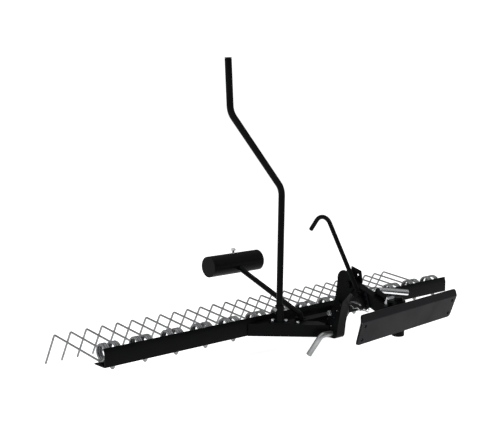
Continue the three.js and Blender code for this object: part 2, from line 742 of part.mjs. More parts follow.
// ---- lock pin: bent chromed rod lying on the tongue, with its guide collar --------------------------
const lockPinBend = tongueAt(LOCK_PIN_X, LOCK_PIN_BEND, LOCK_PIN_T);
const LOCK_HANDLE_END = V(101.5, -35, -17); // from the bend
const lockPinRoute = rounded(
  [tongueAt(LOCK_PIN_X, LOCK_PIN_TIP, LOCK_PIN_T), lockPinBend, lockPinBend.clone().add(LOCK_HANDLE_END)],
  13,
  5,
);
add("lock_pin", alongRoute(lockPinRoute, PIN_R, 12), chrome);

const GUIDE_FROM = 126.5; // along the slope from the pivot
const GUIDE_TO = 137.5;
const collarCorners = [
  onTongue(GUIDE_FROM, TONGUE_TOP + GAP),
  onTongue(GUIDE_FROM, LOCK_PIN_T + 12.5),
  onTongue(GUIDE_TO, LOCK_PIN_T + 12.5),
  onTongue(GUIDE_TO, TONGUE_TOP + GAP),
];
const collarMiddle = HUB_X + LOCK_PIN_X - 3;
add(
  "lock_pin_guide",
  cut(sideways(collarCorners, collarMiddle - 14, collarMiddle + 14.5), rod(...lockPinLine, PIN_R + GAP, 12)),
  zinc,
);

// ---- hitch pin with its bent handle, depth pin and retaining clip ----------------------------------
const hitchBend = V(-66, ...HITCH_HOLE);
const HITCH_HANDLE = V(-14, 31, -55);
const hitchDrop = HITCH_HANDLE.clone().normalize();
const hitchLow = TINE_TIP[1] - WIRE_R * 0.5 + PIN_R * Math.sqrt(1 - hitchDrop.z ** 2);
const hitchEnd = hitchBend.clone().addScaledVector(hitchDrop, (hitchLow - hitchBend.z) / hitchDrop.z);
const hitchRoute = rounded([V(HUB_X + HUB_HALF + 8, ...HITCH_HOLE), hitchBend, hitchEnd], 13, 5);
add("hitch_pin", alongRoute(hitchRoute, PIN_R, 12), satinBar);

const CLIP_X = 18;
const CLIP_R = 1.9;
const CLIP_HOLE_Z = DEPTH_HOLE[1];
const depthProfile = [
  [0, -6],
  [9.5, -6],
  [9.5, 0],
  [6.35, 0],
  [6.35, 51],
  [5, 53],
  [0, 53],
];
const depthHead = V(HUB_X - HUB_HALF - GAP, ...DEPTH_HOLE);
const clipHole = rod(
  V(CLIP_X, DEPTH_HOLE[0] + 12, CLIP_HOLE_Z),
  V(CLIP_X, DEPTH_HOLE[0] - 12, CLIP_HOLE_Z),
  CLIP_R + 0.5,
  8,
);
add("depth_pin", cut(turned(depthProfile, depthHead, V(60, ...DEPTH_HOLE), 12), clipHole), black);

const clipCorners = [
  [22, 0.2],
  [-30, -0.5],
  [-64, -7],
];
const clipRing = arc([-69, -13], 6, 80, 310, 7);
const clipWave = [
  [-52, -17],
  [-42, -20],
  [-30, -14],
  [-16, -17.5],
  [0, -9.2],
  [12, -13],
  [20, -20],
];
const clipRoute = [...clipCorners, ...clipRing, ...clipWave].map(([y, z]) =>
  V(CLIP_X, DEPTH_HOLE[0] + y, CLIP_HOLE_Z + z),
);
add("hitch_pin_clip", alongRoute(clipRoute, CLIP_R, 6), zinc);

// ---- latch lever: hooked round rod pivoting on a plate beside the tongue ----------------------------
const leverX = HUB_X + LEVER_X;
const leverRoute = rounded(
  [V(leverX, -272.5, 98.9), V(leverX, -112, 361), V(leverX, -61, 295.4)],
  32,
  6,
);
const leverBoss = rod(
  V(leverX - LEVER_R, ...LEVER_BOLT),
  V(HUB_X - TONGUE_HALF - GAP - 3 - GAP, ...LEVER_BOLT),
  10,
  14,
);
const leverBar = join(alongRoute(leverRoute, LEVER_R, 10), leverBoss);
add("latch_lever", cut(leverBar, sideHole(LEVER_BOLT, 5.4)), black);
const leverSeat = V(leverX - LEVER_R - GAP, ...LEVER_BOLT);
const leverGrip = HUB_X + TONGUE_HALF + GAP - leverSeat.x;
add("lever_bolt", boltSet(leverSeat, V(60, ...LEVER_BOLT), leverGrip, 5, 8.2, 6, 7), black);

const sectorOutline = [
  [-240, 152],
  [-268, 148],
  [-283, 104],
  [-270, 92],
  [-254, 96],
];
const sectorHoles = [0, 1, 2, 3].map((k) => sideHole([-262 - 4 * k, 142 - 12.5 * k], 3.2, 8));
const sectorX = HUB_X - TONGUE_HALF - GAP;
add(
  "sector_plate",
  cut(sideways(sectorOutline, sectorX - 3, sectorX), sideHole(LEVER_BOLT, 5.4), ...sectorHoles),
  plateBlack,
);

// ---- origin: middle of the footprint, on the ground that the tine tips touch ------------------------
const extent = new THREE.Box3().setFromObject(dethatcher, true);
const middle = extent.getCenter(new THREE.Vector3());
dethatcher.position.set(-middle.x, -middle.y, -extent.min.z);

const model = new THREE.Group();
model.add(dethatcher);
export default model;
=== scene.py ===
import math
import bpy
from mathutils import Matrix, Vector, noise


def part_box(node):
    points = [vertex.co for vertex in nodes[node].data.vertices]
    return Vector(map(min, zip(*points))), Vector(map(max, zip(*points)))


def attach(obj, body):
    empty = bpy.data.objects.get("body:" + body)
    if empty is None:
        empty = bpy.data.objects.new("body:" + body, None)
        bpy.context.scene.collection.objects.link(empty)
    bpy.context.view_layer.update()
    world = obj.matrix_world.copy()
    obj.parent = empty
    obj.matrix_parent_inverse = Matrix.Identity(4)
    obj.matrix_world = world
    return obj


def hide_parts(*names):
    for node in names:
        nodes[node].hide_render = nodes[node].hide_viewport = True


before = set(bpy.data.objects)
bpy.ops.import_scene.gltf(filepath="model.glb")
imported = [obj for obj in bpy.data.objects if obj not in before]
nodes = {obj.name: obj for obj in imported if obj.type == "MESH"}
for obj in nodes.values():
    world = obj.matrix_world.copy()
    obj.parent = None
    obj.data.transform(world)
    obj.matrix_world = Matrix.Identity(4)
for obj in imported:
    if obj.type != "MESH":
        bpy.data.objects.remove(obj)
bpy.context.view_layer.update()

# ---- room -----------------------------------------------------------------------------------------
# A plain pale floor in even studio light, and the camera out behind the rake's left rear corner, a
# little above the height of its handle's upper bend. None of this belongs to the rake.
bar_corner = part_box("tine_bar")[0]


def at(x, y, z):
    """A place in millimetres from the middle of the tine bar's rear bottom edge."""
    return Vector((x / 1000, bar_corner.y + y / 1000, bar_corner.z + z / 1000))


def clear_selection():
    for thing in list(bpy.context.selected_objects):
        thing.select_set(False)


clear_selection()
camera = bpy.data.objects.new("camera", bpy.data.cameras.new("camera"))
bpy.context.scene.collection.objects.link(camera)
LOOKS_DOWN = 7.467  # degrees below level
LOOKS_RIGHT = 41.5  # degrees from straight ahead of the rake
camera.location = at(-1932.0, -1947.7, 688.0)
camera.rotation_euler = (math.radians(90 - LOOKS_DOWN), 0, math.radians(-LOOKS_RIGHT))
camera.data.sensor_width = 36
camera.data.lens = 66.93
camera.data.clip_end = 60
bpy.context.scene.camera = camera
bpy.context.scene.view_settings.view_transform = "Standard"

FLOOR_SIZE = 50
FLOOR_Z = -0.0005
bpy.ops.mesh.primitive_plane_add(size=FLOOR_SIZE, location=(0, 0, FLOOR_Z))
floor = bpy.context.object
floor.name = "studio_floor"
floor_paint = bpy.data.materials.new("studio_floor_white")
floor_paint.use_nodes = True
floor_shader = floor_paint.node_tree.nodes["Principled BSDF"]
floor_shader.inputs["Base Color"].default_value = (0.8, 0.8, 0.8, 1)
floor_shader.inputs["Emission Color"].default_value = (1, 1, 1, 1)
floor_shader.inputs["Emission Strength"].default_value = 0.84
floor_shader.inputs["Roughness"].default_value = 0.95
floor_shader.inputs["Specular IOR Level"].default_value = 0.05
floor.data.materials.append(floor_paint)

world = bpy.data.worlds.new("studio")
world.use_nodes = True
bpy.context.scene.world = world
sky = world.node_tree.nodes["Background"]
sky.inputs["Color"].default_value = (1, 1, 1, 1)
SKY_LIGHT = 0.26
BACKDROP = 1.12  # seen brighter than the light that it throws on the rake
ray = world.node_tree.nodes.new("ShaderNodeLightPath")
level = world.node_tree.nodes.new("ShaderNodeMath")
level.operation = "MULTIPLY_ADD"
level.inputs[1].default_value = BACKDROP - SKY_LIGHT
level.inputs[2].default_value = SKY_LIGHT
world.node_tree.links.new(ray.outputs["Is Camera Ray"], level.inputs[0])
world.node_tree.links.new(level.outputs["Value"], sky.inputs["Strength"])

# Each lamp's place, its width and height in metres, and its watts. All look at LAMPS_LOOK_AT.
LAMPS_LOOK_AT = Vector((0, 0, 0.2))
LAMPS = {
    "overhead": ((0.0, -0.2, 2.9), (3.2, 3.2), 46),
    "left_front": ((-2.6, 0.6, 1.5), (1.4, 1.6), 22),
    "right_rear": ((2.4, -1.8, 1.9), (1.2, 1.4), 5),
    "left_rear": ((-1.4, -2.6, 1.7), (1.2, 1.0), 6),
}
for lamp_name, (place, size, watts) in LAMPS.items():
    lamp = bpy.data.lights.new(lamp_name, "AREA")
    lamp.shape = "RECTANGLE"
    lamp.size, lamp.size_y = size
    lamp.energy = watts
    holder = bpy.data.objects.new(lamp_name, lamp)
    bpy.context.scene.collection.objects.link(holder)
    holder.location = place
    holder.rotation_euler = (LAMPS_LOOK_AT - Vector(place)).to_track_quat("-Z", "Y").to_euler()

# ---- tine bar --------------------------------------------------------------------------------------
# A 55 inch length of 2 inch steel angle whose rear lip is rolled a little forward. It is sprayed
# with black powder and baked, so its flats carry a fine orange peel and its edges thin to metal.


def put(tree, kind, **settings):
    node = tree.nodes.new(kind)
    for key, value in settings.items():
        setattr(node, key, value)
    return node


def join(tree, source, target):
    tree.links.new(source, target)


def effect(name, takes, gives):
    """An empty node group with the named sockets."""
    tree = bpy.data.node_groups.new(name, "ShaderNodeTree")
    for socket, kind, value in takes:
        made = tree.interface.new_socket(socket, in_out="INPUT", socket_type=kind)
        if value is not None:
            made.default_value = value
    for socket in gives:
        tree.interface.new_socket(socket, in_out="OUTPUT", socket_type="NodeSocketFloat")
    return tree, put(tree, "NodeGroupInput"), put(tree, "NodeGroupOutput")


def orange_peel():
    """Baked powder: a fine pebbled height, and a slow tone for where the film lies thick or thin."""
    takes = [("Vector", "NodeSocketVector", None), ("Size", "NodeSocketFloat", 650.0)]
    tree, given, out = effect("orange_peel", takes, ["Height", "Tone"])
    pebbles = put(tree, "ShaderNodeTexNoise")
    pebbles.inputs["Detail"].default_value = 3
    pebbles.inputs["Roughness"].default_value = 0.6
    join(tree, given.outputs["Vector"], pebbles.inputs["Vector"])
    join(tree, given.outputs["Size"], pebbles.inputs["Scale"])
    join(tree, pebbles.outputs["Fac"], out.inputs["Height"])
    clouds = put(tree, "ShaderNodeTexNoise")
    clouds.inputs["Scale"].default_value = 16
    clouds.inputs["Detail"].default_value = 5
    join(tree, given.outputs["Vector"], clouds.inputs["Vector"])
    join(tree, clouds.outputs["Fac"], out.inputs["Tone"])
    return tree


def worn_edge():
    """Where an edge has lost its coat: the edge mark, broken up by a patchy noise."""
    takes = [
        ("Vector", "NodeSocketVector", None),
        ("Edge", "NodeSocketFloat", 0.0),
        ("Wear", "NodeSocketFloat", 0.4),
    ]
    tree, given, out = effect("worn_edge", takes, ["Mask"])
    patches = put(tree, "ShaderNodeTexNoise")
    patches.inputs["Scale"].default_value = 85
    patches.inputs["Detail"].default_value = 4
    join(tree, given.outputs["Vector"], patches.inputs["Vector"])
    level = put(tree, "ShaderNodeMath", operation="ADD")
    join(tree, patches.outputs["Fac"], level.inputs[0])
    join(tree, given.outputs["Wear"], level.inputs[1])
    cut = put(tree, "ShaderNodeMapRange", clamp=True)
    cut.inputs["From Min"].default_value = 0.88
    cut.inputs["From Max"].default_value = 1.08
    join(tree, level.outputs["Value"], cut.inputs["Value"])
    only_edges = put(tree, "ShaderNodeMath", operation="MULTIPLY")
    join(tree, cut.outputs["Result"], only_edges.inputs[0])
    join(tree, given.outputs["Edge"], only_edges.inputs[1])
    join(tree, only_edges.outputs["Value"], out.inputs["Mask"])
    return tree


peel_effect = orange_peel()
wear_effect = worn_edge()
BARE_STEEL = (0.2, 0.2, 0.205)


def placed_effect(tree, group, where):
    node = put(tree, "ShaderNodeGroup")
    node.node_tree = group
    join(tree, where.outputs["Object"], node.inputs["Vector"])
    return node


def spread(tree, value, low, high):
    node = put(tree, "ShaderNodeMapRange", clamp=True)
    node.inputs["From Min"].default_value = 0.3
    node.inputs["From Max"].default_value = 0.7
    node.inputs["To Min"].default_value = low
    node.inputs["To Max"].default_value = high
    join(tree, value, node.inputs["Value"])
    return node.outputs["Result"]


def blend_colour(tree, share, first, second):
    node = put(tree, "ShaderNodeMix", data_type="RGBA")
    join(tree, share, node.inputs["Factor"])
    for socket, colour in ((node.inputs[6], first), (node.inputs[7], second)):
        if isinstance(colour, tuple):
            socket.default_value = (*colour, 1)
        else:
            join(tree, colour, socket)
    return node.outputs[2]


def raised(tree, height, depth, strength, shader):
    bump = put(tree, "ShaderNodeBump")
    bump.inputs["Distance"].default_value = depth
    bump.inputs["Strength"].default_value = strength
    join(tree, height, bump.inputs["Height"])
    join(tree, bump.outputs["Normal"], shader.inputs["Normal"])


def powder_coat(name, deep, thin, roughness, gloss, wear):
    """Powder-coated steel: two near-black tones, an orange peel and edges that show bare metal."""
    material = bpy.data.materials.new(name)
    material.use_nodes = True
    tree = material.node_tree
    shader = tree.nodes["Principled BSDF"]
    where = put(tree, "ShaderNodeTexCoord")
    peel = placed_effect(tree, peel_effect, where)
    worn = placed_effect(tree, wear_effect, where)
    worn.inputs["Wear"].default_value = wear
    mark = put(tree, "ShaderNodeAttribute", attribute_name="edge")
    join(tree, mark.outputs["Fac"], worn.inputs["Edge"])
    coat = blend_colour(tree, spread(tree, peel.outputs["Tone"], 0.0, 1.0), deep, thin)
    colour = blend_colour(tree, worn.outputs["Mask"], coat, BARE_STEEL)
    join(tree, colour, shader.inputs["Base Color"])
    matt = spread(tree, peel.outputs["Tone"], roughness - 0.05, roughness + 0.07)
    join(tree, matt, shader.inputs["Roughness"])
    join(tree, worn.outputs["Mask"], shader.inputs["Metallic"])
    shader.inputs["Specular IOR Level"].default_value = gloss
    raised(tree, peel.outputs["Height"], 0.00025, 0.35, shader)
    return material


BLACK_DEEP = (0.0012, 0.0013, 0.0016)
BLACK_THIN = (0.0024, 0.0026, 0.003)
black_coat = powder_coat("black_powder_coat", BLACK_DEEP, BLACK_THIN, roughness=0.36, gloss=0.045, wear=0.2)


def steelwork(node, body, slot, material, edge=0.9, fold=50, smooth=48):
    """A frame node as finished steel: one skin, softened edges that carry a mark for wear."""
    clear_selection()
    piece = nodes[node].copy()
    piece.data = nodes[node].data.copy()
    piece.name = node + "_finished"
    piece.parent = None
    for key in list(piece.keys()):
        del piece[key]
    bpy.context.scene.collection.objects.link(piece)
    piece.select_set(True)
    bpy.context.view_layer.objects.active = piece
    bpy.ops.object.mode_set(mode="EDIT")
    bpy.ops.mesh.select_all(action="SELECT")
    bpy.ops.mesh.remove_doubles(threshold=0.00001)
    bpy.ops.mesh.dissolve_limited(angle_limit=math.radians(0.6))
    bpy.ops.object.mode_set(mode="OBJECT")
    piece.data.materials.clear()
    piece.data.materials.append(material)
    soften(piece, edge, fold)
    return finish(piece, body, slot, node, smooth=smooth)


def soften(piece, edge, fold=50, segments=2):
    """Rounds every edge sharper than `fold` degrees by `edge` millimetres, and marks the new faces."""
    bevel = piece.modifiers.new("soften", "BEVEL")
    bevel.width = edge / 1000
    bevel.segments = segments
    bevel.limit_method = "ANGLE"
    bevel.angle_limit = math.radians(fold)
    bevel.material = 1
    piece.data.materials.append(piece.data.materials[0])
    bpy.ops.object.modifier_apply(modifier=bevel.name)
    mark = piece.data.attributes.new("edge", "FLOAT", "FACE")
    for face in piece.data.polygons:
        mark.data[face.index].value = 1.0 if face.material_index == 1 else 0.0
        face.material_index = 0
    piece.data.materials.pop(index=1)


def finish(piece, body, slot, *stands_for, smooth=48):
    """Shades a piece, hangs it on its body and hides the frame nodes it stands for."""
    clear_selection()
    piece.select_set(True)
    bpy.context.view_layer.objects.active = piece
    bpy.ops.object.shade_smooth_by_angle(angle=math.radians(smooth))
    flats = piece.modifiers.new("keep_flats_flat", "WEIGHTED_NORMAL")
    flats.keep_sharp = True
    bpy.ops.object.modifier_apply(modifier=flats.name)
    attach(piece, body)
    if stands_for:
        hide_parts(*stands_for)
    return piece


steelwork("tine_bar", "rake_frame", "black_powder_coat", black_coat, edge=0.8)

# ---- spring tines ----------------------------------------------------------------------------------
# Each is one galvanised spring wire, wound into two coils and turned down into two tines. The
# middle of the wire loops round its bolt. The draw die leaves faint streaks and the zinc dulls.
PAIRS = 14
PAIR_PITCH = 101.6
WIRE = 3  # radius
COIL = 22.2  # radius to the wire's centre
TURNS = 3
TURN_STEPS = 24
COIL_PITCH = 6.3
COIL_Y = 42
LOOP_Z = 6.6
LOOP = 8
BOLT_Y = 25.4
TINE_X = 25.4
TINE_TIP = (325.2, -60.8)
TINE_KNEE = (272.8, 30.9)
KNEE_BEND = 9


def plated(name, light, dark, roughness, mottle, metal=1.0, depth=0.0):
    """Bright plated steel: two tones of metal that mottle together, with a faint grain."""
    material = bpy.data.materials.new(name)
    material.use_nodes = True
    tree = material.node_tree
    shader = tree.nodes["Principled BSDF"]
    where = put(tree, "ShaderNodeTexCoord")
    tones = put(tree, "ShaderNodeTexNoise")
    tones.inputs["Scale"].default_value = mottle
    tones.inputs["Detail"].default_value = 5
    join(tree, where.outputs["Object"], tones.inputs["Vector"])
    peel = placed_effect(tree, peel_effect, where)
    peel.inputs["Size"].default_value = 1400.0
    worn = placed_effect(tree, wear_effect, where)
    worn.inputs["Wear"].default_value = 0.45
    mark = put(tree, "ShaderNodeAttribute", attribute_name="edge")
    join(tree, mark.outputs["Fac"], worn.inputs["Edge"])
    metal_tone = blend_colour(tree, spread(tree, tones.outputs["Fac"], 0.0, 1.0), dark, light)
    bright = tuple(min(1.0, 1.25 * c) for c in light)
    join(tree, blend_colour(tree, worn.outputs["Mask"], metal_tone, bright), shader.inputs["Base Color"])
    shader.inputs["Metallic"].default_value = metal
    matt = spread(tree, tones.outputs["Fac"], roughness + 0.1, roughness - 0.05)
    join(tree, matt, shader.inputs["Roughness"])
    if depth:
        raised(tree, peel.outputs["Height"], depth, 0.3, shader)
    return material


def rounded(corners, radius, steps):
    """A path through corner points, each inner corner bent to a radius in millimetres."""
    path = [corners[0]]
    for before, corner, after in zip(corners, corners[1:], corners[2:]):
        back = (before - corner).normalized()
        ahead = (after - corner).normalized()
        half = back.angle(ahead) / 2
        reach = radius / 1000 / math.tan(half)
        centre = corner + (back + ahead).normalized() * (radius / 1000 / math.sin(half))
        start = corner + back * reach - centre
        end = corner + ahead * reach - centre
        sweep = math.pi - 2 * half
        for k in range(steps + 1):
            first = math.sin((1 - k / steps) * sweep) / math.sin(sweep)
            second = math.sin(k / steps * sweep) / math.sin(sweep)
            path.append(centre + start * first + end * second)
    path.append(corners[-1])
    return path


def drawn_bar(name, path, radius, material, resolution=4, chamfer=0.0, swell=None):
    """Round bar or wire bent along a path, its ends cut square and chamfered."""
    curve = bpy.data.curves.new(name, "CURVE")
    curve.dimensions = "3D"
    curve.bevel_depth = radius / 1000
    curve.bevel_resolution = resolution
    curve.use_fill_caps = True
    spline = curve.splines.new("POLY")
    spline.points.add(len(path) - 1)
    for index, place in enumerate(path):
        spline.points[index].co = (*place, 1)
        spline.points[index].radius = swell(index) if swell else 1.0
    piece = bpy.data.objects.new(name, curve)
    bpy.context.scene.collection.objects.link(piece)
    clear_selection()
    piece.select_set(True)
    bpy.context.view_layer.objects.active = piece
    bpy.ops.object.convert(target="MESH")
    piece = bpy.context.object
    bpy.ops.object.mode_set(mode="EDIT")
    bpy.ops.mesh.select_all(action="SELECT")
    bpy.ops.mesh.remove_doubles(threshold=0.000001)
    bpy.ops.mesh.normals_make_consistent(inside=False)
    bpy.ops.object.mode_set(mode="OBJECT")
    piece.data.materials.clear()
    piece.data.materials.append(material)
    if chamfer:
        soften(piece, chamfer, fold=70)
    return piece


def half_tine(side):
    """The wire from a tine's tip to the inner end of its coil."""
    foot = LOOP_Z
    middle = foot + COIL
    corners = [at(side * TINE_X, *yz) for yz in (TINE_TIP, TINE_KNEE, (COIL_Y, foot))]
    path = rounded(corners, KNEE_BEND, 6)
    for k in range(1, TURNS * TURN_STEPS + 1):
        turn = k / TURN_STEPS
        angle = -math.pi / 2 - 2 * math.pi * turn
        y = COIL_Y + COIL * math.cos(angle)
        z = middle + COIL * math.sin(angle)
        path.append(at(side * (TINE_X - turn * COIL_PITCH), y, z))
    return path


def tine_path():
    """The whole wire: one tine and coil, the half loop behind the bolt, the other coil and tine."""
    angles = [math.pi * (1 + k / 10) for k in range(11)]
    loop = [at(LOOP * math.cos(a), BOLT_Y + LOOP * math.sin(a), LOOP_Z) for a in angles]
    return half_tine(-1) + loop + half_tine(1)[::-1]


def repeated(piece, name, shift):
    """A copy with a mesh of its own, moved sideways in its mesh."""
    twin = piece.copy()
    twin.data = piece.data.copy()
    twin.name = name
    bpy.context.scene.collection.objects.link(twin)
    twin.data.transform(Matrix.Translation((shift / 1000, 0, 0)))
    return twin


WIRE_LIGHT = (0.25, 0.255, 0.26)
WIRE_DARK = (0.15, 0.155, 0.16)
spring_wire = plated("galvanised_wire", WIRE_LIGHT, WIRE_DARK, 0.42, 60, metal=0.55, depth=0.0001)
spring_wire.node_tree.nodes["Principled BSDF"].inputs["Specular IOR Level"].default_value = 0.2
pattern_tine = drawn_bar("tine_pattern", tine_path(), WIRE, spring_wire, resolution=3, chamfer=0.5)
for pair in range(PAIRS):
    shift = (pair - (PAIRS - 1) / 2) * PAIR_PITCH
    label = f"{pair + 1:02d}"
    tine = repeated(pattern_tine, "tine_wire_" + label, shift)
    finish(tine, "rake_frame", "spring_wire", "spring_tine_" + label, smooth=60)
bpy.data.objects.remove(pattern_tine)

# ---- tine bolts ------------------------------------------------------------------------------------
# Zinc-plated hexagon bolts. Each clamps the wire's loop under a broad washer, and its lock nut shows
# below the flange with its collar and a turn or two of thread past it.
bright_zinc = plated("bright_zinc", (0.66, 0.67, 0.69), (0.42, 0.43, 0.45), 0.26, 140, depth=0.00006)


def select_ends(piece):
    """Selects only the end faces of a piece made about Z."""
    bpy.ops.object.mode_set(mode="EDIT")
    bpy.ops.mesh.select_mode(type="FACE")
    bpy.ops.mesh.select_all(action="DESELECT")
    bpy.ops.object.mode_set(mode="OBJECT")
    for face in piece.data.polygons:
        face.select = abs(face.normal.z) > 0.9
    bpy.ops.object.mode_set(mode="EDIT")


def hexagon(radius, low, high):
    """A hexagon head or nut about Z, by the radius of its corners, with both ends chamfered."""
    clear_selection()
    middle = (low + high) / 2000
    bpy.ops.mesh.primitive_cylinder_add(vertices=6, radius=radius / 1000, depth=(high - low) / 1000,
                                        location=(0, 0, middle))
    piece = bpy.context.object
    select_ends(piece)
    bpy.ops.mesh.region_to_loop()
    bpy.ops.mesh.bevel(offset=radius / 1000 * 0.1, segments=2, affect="EDGES")
    bpy.ops.object.mode_set(mode="OBJECT")
    return piece


def washer(radius, low, high):
    """A round disc about Z with both rims broken."""
    clear_selection()
    bpy.ops.mesh.primitive_cylinder_add(vertices=32, radius=radius / 1000, depth=(high - low) / 1000,
                                        location=(0, 0, (low + high) / 2000))
    piece = bpy.context.object
    select_ends(piece)
    bpy.ops.mesh.region_to_loop()
    bpy.ops.mesh.bevel(offset=(high - low) / 5000, segments=2, affect="EDGES")
    bpy.ops.object.mode_set(mode="OBJECT")
    return piece


ROOT_SHARE = 0.88  # a thread's root, as a share of its crest
END_SHARE = 0.97


def thread(radius, low, high, pitch=1.5):
    """A threaded stretch about Z, as rings that step in and out, closed with a chamfered end."""
    clear_selection()
    bpy.ops.mesh.primitive_circle_add(vertices=18, radius=radius / 1000, fill_type="NGON",
                                      location=(0, 0, low / 1000))
    piece = bpy.context.object
    bpy.ops.object.mode_set(mode="EDIT")
    bpy.ops.mesh.select_all(action="SELECT")
    ridges = max(1, round((high - low) / pitch))
    rise = (high - low) / 1000 / (2 * ridges)
    for step in range(2 * ridges):
        bpy.ops.mesh.extrude_region_move(TRANSFORM_OT_translate={"value": (0, 0, rise)})
        share = ROOT_SHARE if step % 2 == 0 else 1 / ROOT_SHARE
        if step == 2 * ridges - 1:
            share = END_SHARE
        centre = (0, 0, low / 1000 + rise * (step + 1))
        bpy.ops.transform.resize(value=(share, share, 1), center_override=centre)
    bpy.ops.mesh.select_all(action="SELECT")
    bpy.ops.mesh.normals_make_consistent(inside=False)
    bpy.ops.object.mode_set(mode="OBJECT")
    return piece


def as_one(name, parts, material):
    """Joins parts into one named piece of one material, with its place in its mesh."""
    clear_selection()
    for part in parts:
        part.select_set(True)
    bpy.context.view_layer.objects.active = parts[0]
    bpy.ops.object.join()
    piece = bpy.context.object
    piece.name = name
    bpy.ops.object.transform_apply(location=True, rotation=True, scale=True)
    piece.data.materials.clear()
    piece.data.materials.append(material)
    return piece


def fastener(name, seat, towards, grip, shank, head, head_height, nut_height, material=bright_zinc):
    """A bolt whose head bears at `seat`, with a nut `grip` millimetres along it."""
    tail = grip + nut_height
    flange = 0.9  # the thin collar under the head
    parts = [
        hexagon(head * 0.97, -head_height, -flange),
        washer(head, -flange, 0.0),
        thread(shank, -0.5, grip + 0.5, pitch=4),
        hexagon(head * 0.92, grip, tail),
        thread(shank, tail - 0.3, tail + shank * 0.7),
    ]
    piece = as_one(name, parts, material)
    turn = Vector((0, 0, 1)).rotation_difference(towards.normalized()).to_matrix().to_4x4()
    piece.data.transform(Matrix.Translation(seat) @ turn)
    return piece


SHANK = 4.0  # radii first, then heights from the underside of the bar's flange
HEAD = 6.2
BROAD_WASHER = 9.2
LOCK_NUT = 7.2
COLLAR = 6.3
CLAMP_FOOT = LOOP_Z + WIRE + 0.4  # where the broad washer meets the wire
CLAMP_TOP = CLAMP_FOOT + 1.9
HEAD_TOP = CLAMP_TOP + 5
NUT_TOP = -0.4
NUT_FOOT = -8.4
COLLAR_FOOT = -11.6
BOLT_END = -14.0
bolt_parts = [
    washer(BROAD_WASHER, CLAMP_FOOT, CLAMP_TOP),
    hexagon(HEAD, CLAMP_TOP, HEAD_TOP),
    thread(SHANK, NUT_TOP - 0.2, CLAMP_FOOT + 1, pitch=4),
    hexagon(LOCK_NUT, NUT_FOOT, NUT_TOP),
    washer(COLLAR, COLLAR_FOOT, NUT_FOOT + 0.2),
    thread(SHANK, BOLT_END, COLLAR_FOOT + 0.2),
]
dull_zinc = plated("dull_zinc", (0.34, 0.345, 0.35), (0.2, 0.205, 0.21), 0.38, 140, depth=0.00006)
pattern_bolt = as_one("tine_bolt_pattern", bolt_parts, dull_zinc)
pattern_bolt.data.transform(Matrix.Translation(at(0, BOLT_Y, 0)))
for pair in range(PAIRS):
    shift = (pair - (PAIRS - 1) / 2) * PAIR_PITCH
    label = f"{pair + 1:02d}"
    bolt = repeated(pattern_bolt, "tine_clamp_bolt_" + label, shift)
    finish(bolt, "rake_frame", "zinc_fastener", "tine_bolt_" + label, smooth=35)
bpy.data.objects.remove(pattern_bolt)

# ---- V-frame ---------------------------------------------------------------------------------------
# Two arms folded from 4 mm plate meet at the hub, with a cross-member between them. The joints are
# welded before coating, so each bead is black and rippled where the torch paused.
for node in ("left_arm", "right_arm", "cross_member"):
    steelwork(node, "rake_frame", "black_powder_coat", black_coat, edge=0.9)


SEAM_STEP = 0.0011
SEAM_WANDER = 0.00035


def weld(name, path, body, bead=1.7):
    """A welded seam along a path, with the overlapping ripples of its pools."""
    fine = [path[0]]
    for start, end in zip(path, path[1:]):
        count = max(2, round((end - start).length / SEAM_STEP))
        fine.extend(start.lerp(end, k / count) for k in range(1, count + 1))
    wander = [p + noise.noise_vector(p * 260) * SEAM_WANDER for p in fine]

    def swell(i):
        return 0.86 + 0.16 * abs(math.sin(i * 0.9)) + 0.1 * noise.noise(fine[i] * 120)

    piece = drawn_bar(name, wander, bead, black_coat, resolution=2, swell=swell)
    return finish(piece, body, "black_powder_coat", smooth=180)


HUB_X = -8
ARM_FOOT = 213.6  # from the hub's middle to the seam at each arm's foot
ARM_NOSE = 16.9  # and to the seam where the arm meets the hub
for side, word in ((-1, "left"), (1, "right")):
    foot = HUB_X + side * ARM_FOOT
    nose = HUB_X + side * ARM_NOSE
    weld(word + "_arm_bar_weld", [at(foot, -1.2, z) for z in (2, 34)], "rake_frame")
    weld(word + "_arm_hub_weld", [at(nose, -130.6, z) for z in (-10.5, 23)], "rake_frame")

FRAME_BOLT = {"shank": 3.8, "head": 5.9, "head_height": 5, "nut_height": 6}


def downward_bolt(node, grip):
    """A bolt through the V-frame, with its head at the top of its frame node."""
    low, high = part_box(node)
    seat = Vector(((low.x + high.x) / 2, (low.y + high.y) / 2, high.z - FRAME_BOLT["head_height"] / 1000))
    piece = fastener(node + "_set", seat, Vector((0, 0, -1)), grip, **FRAME_BOLT)
    return finish(piece, "rake_frame", "zinc_fastener", node, smooth=35)


for node in ("frame_bolt_left", "frame_bolt_right"):
    downward_bolt(node, 5.9)

# ---- hub -------------------------------------------------------------------------------------------
# Two side plates with a row of holes, joined by a web round the rear, whose top is the lift's stop.
# The lift pivot passes through the top. A tab stands beside it on the right, coloured charcoal, a shade
# lighter than the frame black, as painted sheen.
# Charcoal coat: the black powder coat made a shade lighter, as painted sheen on plates that face the light.
PAINTED_SHEEN_DEEP = (0.003, 0.003, 0.0042)
PAINTED_SHEEN_THIN = (0.0056, 0.0054, 0.0072)
painted_sheen_coat = powder_coat("painted_sheen_powder_coat", PAINTED_SHEEN_DEEP, PAINTED_SHEEN_THIN,
                        roughness=0.46, gloss=0.07, wear=0.2)
steelwork("hub_upright", "rake_frame", "black_powder_coat", black_coat, edge=0.7)
steelwork("pivot_tab", "rake_frame", "dark_plate", painted_sheen_coat, edge=0.7)


def crosswise_bolt(node, name, body, grip, shank, head, head_height, nut_height, black=False):
    """A bolt that runs along X from the left end of its frame node, bright or sprayed with the frame."""
    low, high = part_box(node)
    seat = Vector((low.x + head_height / 1000, (low.y + high.y) / 2, (low.z + high.z) / 2))
    material, slot = (black_coat, "black_powder_coat") if black else (bright_zinc, "zinc_fastener")
    piece = fastener(name, seat, Vector((1, 0, 0)), grip, shank, head, head_height, nut_height, material)
    return finish(piece, body, slot, node, smooth=35)


